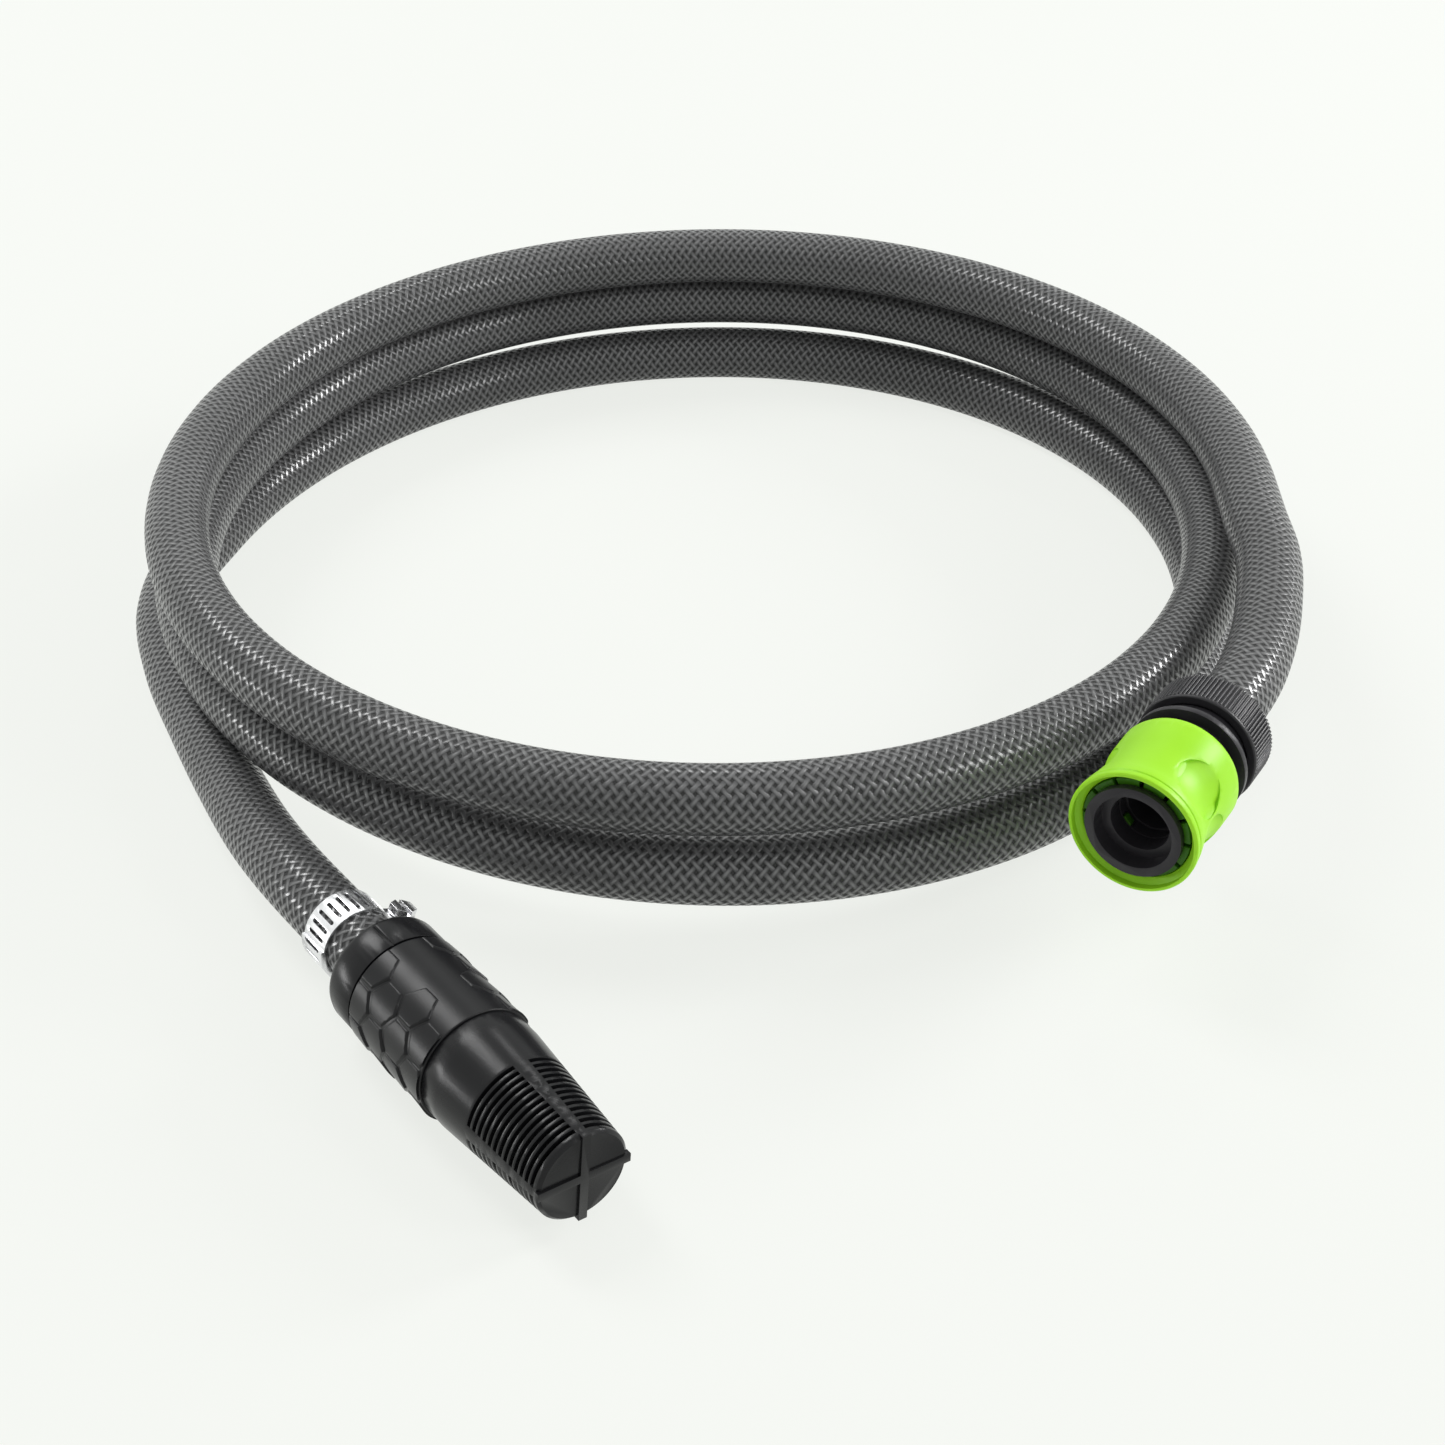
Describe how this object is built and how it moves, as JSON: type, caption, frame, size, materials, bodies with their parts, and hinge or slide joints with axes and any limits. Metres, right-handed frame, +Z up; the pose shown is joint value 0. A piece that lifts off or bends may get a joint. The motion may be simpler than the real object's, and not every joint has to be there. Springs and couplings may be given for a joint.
{
  "type": "garden suction hose set",
  "caption": "Coiled braided suction hose with a quick connector at one end and a slotted strainer with a foot valve at the other.",
  "frame": {"origin": "on the surface the set lies on, below the middle of its footprint", "axes": "+Z up; +Y from the strainer's side of the coil to the far side; +X towards the quick connector"},
  "size_m": [0.3366, 0.4328, 0.0586],
  "materials": {
    "connector_core": "satin",
    "jaw_ring": "gloss",
    "release_sleeve": "gloss",
    "hose_nut": "satin",
    "hose": "braid under a clear jacket",
    "clamp_steel": "bright",
    "strainer_plastic": "satin",
    "grip": "satin",
    "seal_rubber": "matt",
    "valve_plastic": "satin",
    "spring_wire": "drawn wire"
  },
  "bodies": {
    "set": {"connector_core": "connector_core", "jaw_ring": "jaw_ring", "sleeve_spring": "spring_wire", "hose_lead": "hose", "hose_coil": "hose", "hose_tail": "hose", "clamp_band": "clamp_steel", "clamp_housing": "clamp_steel", "hose_adapter": "strainer_plastic"},
    "sleeve": {"release_sleeve": "release_sleeve"},
    "collet": {"clamp_collet": "hose_nut"},
    "nut": {"hose_nut": "hose_nut"},
    "worm_screw": {"clamp_screw": "clamp_steel"},
    "seal_carriage": {"basket_seal": "seal_rubber"},
    "basket": {"strainer_basket": "strainer_plastic", "grip_sleeve": "grip", "valve_guide": "valve_plastic", "valve_spring": "spring_wire", "valve_seat": "valve_plastic"},
    "poppet": {"valve_poppet": "valve_plastic", "poppet_washer": "seal_rubber"}
  },
  "joints": [
    {"name": "sleeve_pull", "type": "slide", "parent": "set", "child": "sleeve", "axis": [0.5225, 0.8526, 0], "range_m": [0, 0.004], "stiffness_N_per_m": 600, "springref_m": -0.003, "deforming": ["sleeve_spring"]},
    {"name": "nut_travel", "type": "slide", "parent": "set", "child": "collet", "axis": [0.5225, 0.8526, 0], "range_m": [0, 0.00375]},
    {"name": "nut_turn", "type": "hinge", "parent": "collet", "child": "nut", "pos_m": [0.12726, -0.08428, 0.042], "axis": [0.5225, 0.8526, 0], "range_deg": [0, 540]},
    {"name": "clamp_screw_turn", "type": "hinge", "parent": "set", "child": "worm_screw", "pos_m": [-0.07477, -0.12093, 0.00975], "axis": [0.3375, 0.2543, 0.9063], "continuous": true},
    {"name": "strainer_travel", "type": "slide", "parent": "set", "child": "seal_carriage", "axis": [0.6018, -0.7986, 0], "range_m": [0, 0.0045]},
    {"name": "strainer_turn", "type": "hinge", "parent": "seal_carriage", "child": "basket", "pos_m": [-0.05089, -0.17274, 0.0154], "axis": [0.6018, -0.7986, 0], "range_deg": [0, 540]},
    {"name": "poppet_lift", "type": "slide", "parent": "basket", "child": "poppet", "axis": [-0.6018, 0.7986, 0], "range_m": [0, 0.004], "stiffness_N_per_m": 60, "springref_m": -0.004, "deforming": ["valve_spring"]}
  ],
  "couplings": [
    {"joint": "nut_turn", "follows": "nut_travel", "rad_per_m": 2513.3},
    {"joint": "strainer_turn", "follows": "strainer_travel", "rad_per_m": 2094.4}
  ]
}
